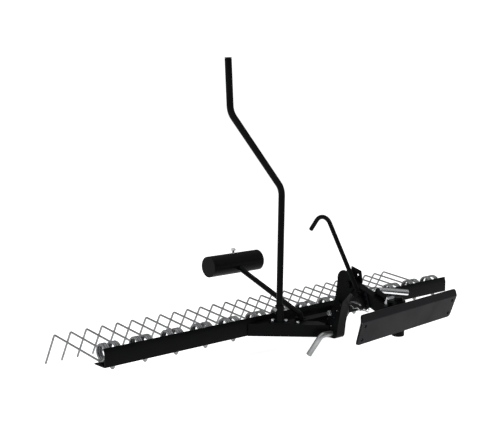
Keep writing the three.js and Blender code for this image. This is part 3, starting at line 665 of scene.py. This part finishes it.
crosswise_bolt("pivot_bolt", "lift_pivot_bolt", "rake_frame", grip=37.6, shank=6.35, head=10.8,
               head_height=7.5, nut_height=9.5, black=True)
crosswise_bolt("hub_cross_bolt", "hub_tie_bolt", "rake_frame", grip=33.2, shank=3.9, head=7.4,
               head_height=6, nut_height=6.5)

# ---- lift handle -----------------------------------------------------------------------------------
# A 3/4 inch tube bent twice and bolted into a short socket, whose foot plate is bolted to the left
# arm. A plastic plug closes the tube's top end.
SOCKET = (-134.3, -39)
steelwork("handle_socket", "rake_frame", "black_powder_coat", black_coat, edge=0.8)
handle_corners = [
    at(*SOCKET, 39),
    at(SOCKET[0] + 0.1, SOCKET[1], 92),
    at(-126.8, SOCKET[1], 418),
    at(-316.8, SOCKET[1], 636),
    at(-323.8, SOCKET[1], 778),
]
HANDLE_TUBE = 9.5  # radius
HANDLE_BEND = 52
handle_path = [handle_corners[0]] + rounded(handle_corners[1:], HANDLE_BEND, 14)
handle = drawn_bar("lift_handle_tube", handle_path, HANDLE_TUBE, black_coat, resolution=8, chamfer=0.6)
finish(handle, "rake_frame", "black_powder_coat", "lift_handle")


def moulded_plastic(name, colour):
    """Moulded plastic: one colour that mottles a little lighter, over a fine matt grain."""
    material = bpy.data.materials.new(name)
    material.use_nodes = True
    tree = material.node_tree
    shader = tree.nodes["Principled BSDF"]
    where = put(tree, "ShaderNodeTexCoord")
    peel = placed_effect(tree, peel_effect, where)
    peel.inputs["Size"].default_value = 900.0
    lighter = tuple(1.6 * c for c in colour)
    join(tree, blend_colour(tree, peel.outputs["Tone"], colour, lighter), shader.inputs["Base Color"])
    join(tree, spread(tree, peel.outputs["Tone"], 0.5, 0.65), shader.inputs["Roughness"])
    shader.inputs["Specular IOR Level"].default_value = 0.3
    raised(tree, peel.outputs["Height"], 0.0002, 0.5, shader)
    return material


plug_black = moulded_plastic("plug_black", (0.005, 0.005, 0.005))
steelwork("handle_end_plug", "rake_frame", "plug_plastic", plug_black, edge=1.0)

CROSS_HEAD_HEIGHT = 4.5
low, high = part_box("handle_bolt")
bolt_seat = Vector((high.x - CROSS_HEAD_HEIGHT / 1000, (low.y + high.y) / 2, (low.z + high.z) / 2))
handle_bolt = fastener("socket_cross_bolt", bolt_seat, Vector((-1, 0, 0)), grip=26.2, shank=3.1, head=6.4,
                       head_height=CROSS_HEAD_HEIGHT, nut_height=5.5)
finish(handle_bolt, "rake_frame", "zinc_fastener", "handle_bolt", smooth=35)
for node in ("socket_bolt_1", "socket_bolt_2"):
    low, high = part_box(node)
    ends = FRAME_BOLT["head_height"] + FRAME_BOLT["nut_height"] + FRAME_BOLT["shank"] * 0.7
    downward_bolt(node, (high.z - low.z) * 1000 - ends)

SOCKET_WELD = 13.2  # radius of the seam round the socket's foot
FOOT_TOP = 41.2  # height of the foot plate's top, were it carried forward to the bar
FRAME_DROP = 0.094  # the V-frame falls this much per millimetre towards the hub
socket_ring = []
for k in range(41):
    turn = 2 * math.pi * k / 40
    y = SOCKET[1] + SOCKET_WELD * math.sin(turn)
    socket_ring.append(at(SOCKET[0] + SOCKET_WELD * math.cos(turn), y, FOOT_TOP + FRAME_DROP * y))
weld("socket_weld", socket_ring, "rake_frame", bead=1.6)

# ---- ballast ---------------------------------------------------------------------------------------
# A solid steel cylinder, cross-drilled to slide on a round arm that rises from the cross-member.
# A zinc set bolt through its top grips the arm.
BALLAST_X = -61
ballast_low, ballast_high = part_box("ballast_weight")
ballast_middle = (ballast_low + ballast_high) / 2
rise = Vector((0, 308, 112)).normalized()
PAINT_DEEP = (0.0012, 0.0012, 0.0014)
PAINT_THIN = (0.0026, 0.0026, 0.0029)
black_paint = powder_coat("ballast_black_paint", PAINT_DEEP, PAINT_THIN,
                          roughness=0.42, gloss=0.06, wear=0.25)
BALLAST_R = 32.3
BALLAST_LENGTH = 202
BALLAST_ARM = 8  # radius
ARM_BEND = 9
ARM_PAST = 0.024  # from the ballast's middle to the arm's end
FOOT_THICK = 5
DRILL_PAST = 0.06

clear_selection()
bpy.ops.mesh.primitive_cylinder_add(vertices=96, radius=BALLAST_R / 1000, depth=BALLAST_LENGTH / 1000,
                                    location=ballast_middle, rotation=(0, math.pi / 2, 0))
weight = bpy.context.object
weight.name = "ballast_cylinder"
bpy.ops.object.transform_apply(location=True, rotation=True, scale=True)


def drilled(piece, start, end, radius):
    """Takes a round hole out of a piece, from one point to another."""
    clear_selection()
    middle = (start + end) / 2
    turn = (end - start).to_track_quat("Z", "Y").to_euler()
    bpy.ops.mesh.primitive_cylinder_add(vertices=40, radius=radius / 1000, depth=(end - start).length,
                                        location=middle, rotation=turn)
    drill = bpy.context.object
    clear_selection()
    piece.select_set(True)
    bpy.context.view_layer.objects.active = piece
    hole = piece.modifiers.new("hole", "BOOLEAN")
    hole.object = drill
    hole.operation = "DIFFERENCE"
    hole.solver = "EXACT"
    bpy.ops.object.modifier_apply(modifier=hole.name)
    bpy.data.objects.remove(drill)


drilled(weight, ballast_middle - rise * DRILL_PAST, ballast_middle + rise * DRILL_PAST, BALLAST_ARM + 0.4)
drilled(weight, ballast_middle, ballast_middle + Vector((0, 0, 0.05)), SHANK + 0.4)
weight.data.materials.clear()
weight.data.materials.append(black_paint)
soften(weight, 1.4, fold=40, segments=3)
finish(weight, "ballast", "black_ballast", "ballast_weight", smooth=30)

arm_foot_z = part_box("ballast_arm")[0].z
foot_top = at(BALLAST_X, -51, (arm_foot_z - bar_corner.z) * 1000 + FOOT_THICK)
arm_start = foot_top - Vector((0, 0, 0.003))
arm_bend = ballast_middle + rise * ((foot_top.y - ballast_middle.y) / rise.y)
arm_path = rounded([arm_start, arm_bend, ballast_middle + rise * ARM_PAST], ARM_BEND, 6)
ballast_rod = drawn_bar("ballast_arm_rod", arm_path, BALLAST_ARM, black_coat, resolution=8, chamfer=0.8)
clear_selection()
foot_middle = foot_top + Vector((0, 0.0015, -FOOT_THICK / 2000))
bpy.ops.mesh.primitive_cube_add(size=1, location=foot_middle, scale=(0.024, 0.023, FOOT_THICK / 1000))
foot_plate = bpy.context.object
bpy.ops.object.transform_apply(location=True, rotation=True, scale=True)
foot_plate.data.materials.append(black_coat)
soften(foot_plate, 0.8, fold=40)
arm_piece = as_one("ballast_arm_bar", [ballast_rod, foot_plate], black_coat)
finish(arm_piece, "rake_frame", "black_powder_coat", "ballast_arm")

SET_HEAD = 41.5  # the head's underside, above the ballast's middle
SET_END = 10.6
set_parts = [
    hexagon(7.8, SET_HEAD, SET_HEAD + 5.1),
    washer(8.0, SET_HEAD - 0.6, SET_HEAD + 0.1),
    thread(SHANK, SET_END, SET_HEAD - 0.3),
]
set_bolt = as_one("ballast_grip_bolt", set_parts, bright_zinc)
set_bolt.data.transform(Matrix.Translation(ballast_middle))
finish(set_bolt, "ballast_bolt", "zinc_fastener", "ballast_set_bolt", smooth=35)

# ---- tongue and clevis -----------------------------------------------------------------------------
# A channel that slopes from the lift pivot to a bent clevis, with the kingpin standing in it. The
# clevis plate is welded across the channel's end.
for node in ("tongue_beam", "swivel_clevis"):
    steelwork(node, "tongue", "black_powder_coat", black_coat, edge=0.8)
steelwork("kingpin", "tongue", "black_powder_coat", black_coat, edge=0.5, fold=60)
# The sector plate takes the charcoal coat, lighter than the frame black, as painted sheen on its upward
# face.
steelwork("sector_plate", "tongue", "dark_plate", painted_sheen_coat, edge=0.5)

# ---- mounting head ---------------------------------------------------------------------------------
# A plate folded along its top, drilled near its corners for the mower's bolts, with the swivel
# barrel held to it by two gussets.
# The mount plate takes the charcoal coat, lighter than the frame black, as painted sheen on its lit face.
steelwork("mount_plate", "mount_head", "dark_plate", painted_sheen_coat, edge=0.9, fold=40, smooth=25)
steelwork("swivel_barrel", "mount_head", "black_powder_coat", black_coat, edge=0.8)

# ---- lock pin and guide ----------------------------------------------------------------------------
# A bright-plated 5/8 inch bar with a bent handle. It lies on the tongue in a zinc-plated guide.
# Its leg is coloured with the frame's black coat as a painted reflection of the dark steel beside it.
bright_bar = plated("bright_plated_bar", (0.83, 0.84, 0.85), (0.66, 0.67, 0.69), 0.16, 45, depth=0.00003)
SLOPE = math.radians(21.5)
PIVOT = (-205, 155)
PIN = 8  # radius of the lock pin and the hitch pin
PIN_BEND = 13
PIN_X = 10  # beside the hub's middle
PIN_ABOVE = 19.4  # the pin's axis over the pivot, square to the slope
HANDLE_REACH = Vector((0.1015, -0.035, -0.017))


def on_tongue(x, s, t):
    """A place `s` down the tongue from the lift pivot and `t` square above it, in millimetres."""
    y = PIVOT[0] - math.cos(SLOPE) * s - math.sin(SLOPE) * t
    return at(HUB_X + x, y, PIVOT[1] - math.sin(SLOPE) * s + math.cos(SLOPE) * t)


pin_tip = on_tongue(PIN_X, 149, PIN_ABOVE)
pin_bend = on_tongue(PIN_X, 69, PIN_ABOVE)
pin_path = rounded([pin_tip, pin_bend, pin_bend + HANDLE_REACH], PIN_BEND, 12)
lock_pin = drawn_bar("lock_pin_bar", pin_path, PIN, bright_bar, resolution=8, chamfer=0.9)
lock_pin.data.materials.append(black_coat)
# The painted reflection, in black coat, covers the leg from short of the bend to short of the guide.
painted_reflection_from = pin_bend.y - 0.006
painted_reflection_to = on_tongue(PIN_X, 126, PIN_ABOVE).y
leg_side = pin_bend.x + 0.009
for face in lock_pin.data.polygons:
    if painted_reflection_to < face.center.y < painted_reflection_from and face.center.x < leg_side:
        face.material_index = 1
finish(lock_pin, "lock_pin_rod", "polished_rod", "lock_pin")
steelwork("lock_pin_guide", "tongue", "zinc_fastener", bright_zinc, edge=0.8)

# ---- hitch pin -------------------------------------------------------------------------------------
# A duller zinc-plated bar, pushed through the hub's lowest hole, its handle hanging to the ground.
satin_bar = plated("satin_plated_bar", (0.34, 0.345, 0.35), (0.25, 0.255, 0.26), 0.42, 55, depth=0.00005)
HITCH_HOLE = (-140, 2)
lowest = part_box("hitch_pin")[0].z
hitch_bend = at(-66, *HITCH_HOLE)
drop = Vector((-14, 31, -55)).normalized()
hang = (PIN / 1000 * math.sqrt(1 - drop.z ** 2) + lowest - hitch_bend.z) / drop.z
hitch_path = rounded([at(HUB_X + 24.2, *HITCH_HOLE), hitch_bend, hitch_bend + drop * hang], PIN_BEND, 12)
hitch_pin = drawn_bar("hitch_pin_bar", hitch_path, PIN, satin_bar, resolution=8, chamfer=0.9)
finish(hitch_pin, "hitch_pin_rod", "satin_bar", "hitch_pin")

# ---- depth pin and clip ----------------------------------------------------------------------------
# A headed pin, sprayed with the frame, sets the hub's height. A spring clip of bright wire keeps it.
steelwork("depth_pin", "rake_frame", "black_powder_coat", black_coat, edge=0.6)
CLIP_WIRE = 1.9
CLIP_HOLE = (18, -169.4, 94.4)
RING = (-69, -13)  # middle of the spring ring, from the clip's hole
RING_R = 6
STRAIGHT_LEG = [(22, 0.2), (-30, -0.5), (-64, -7)]
WAVY_LEG = [(-52, -17), (-42, -20), (-30, -14), (-16, -17.5), (0, -9.2), (12, -13), (20, -20)]


def on_clip(y, z):
    return at(CLIP_HOLE[0], CLIP_HOLE[1] + y, CLIP_HOLE[2] + z)


clip_ring = []
for k in range(15):
    turn = math.radians(80 + 230 * k / 14)
    clip_ring.append((RING[0] + RING_R * math.cos(turn), RING[1] + RING_R * math.sin(turn)))
clip_path = [on_clip(y, z) for y, z in STRAIGHT_LEG + clip_ring]
clip_path += rounded([on_clip(y, z) for y, z in clip_ring[-1:] + WAVY_LEG], 5, 3)[1:]
clip = drawn_bar("retaining_clip_wire", clip_path, CLIP_WIRE, bright_zinc, resolution=3, chamfer=0.3)
finish(clip, "retaining_clip", "zinc_fastener", "hitch_pin_clip", smooth=60)

# ---- latch lever -----------------------------------------------------------------------------------
# A hooked half-inch rod that turns on a bolt beside the tongue, with a boss welded round the bolt.
LEVER = 6.3  # radius
LEVER_BOLT = (-250.6, 135)
BOSS_R = 10
BOSS_INNER = -16.5  # the boss's inner end from the hub's middle, clear of the sector plate
HOOK_BEND = 32
lever_x = HUB_X - 23.2
lever_corners = [at(lever_x, -272.5, 98.9), at(lever_x, -112, 361), at(lever_x, -61, 295.4)]
lever_path = rounded(lever_corners, HOOK_BEND, 16)
lever_rod = drawn_bar("latch_lever_rod_bar", lever_path, LEVER, black_coat, resolution=7, chamfer=0.8)
clear_selection()
boss_ends = (lever_x - LEVER, HUB_X + BOSS_INNER)
boss_middle = at(sum(boss_ends) / 2, *LEVER_BOLT)
boss_length = (boss_ends[1] - boss_ends[0]) / 1000
bpy.ops.mesh.primitive_cylinder_add(vertices=48, radius=BOSS_R / 1000, depth=boss_length,
                                    location=boss_middle, rotation=(0, math.pi / 2, 0))
boss = bpy.context.object
bpy.ops.object.transform_apply(location=True, rotation=True, scale=True)
boss.data.materials.append(black_coat)
soften(boss, 0.8, fold=40)
lever = as_one("hooked_lever", [lever_rod, boss], black_coat)
finish(lever, "latch_lever_rod", "black_powder_coat", "latch_lever")
crosswise_bolt("lever_bolt", "lever_pivot_bolt", "tongue", grip=43.7, shank=5, head=8.2,
               head_height=6, nut_height=7, black=True)
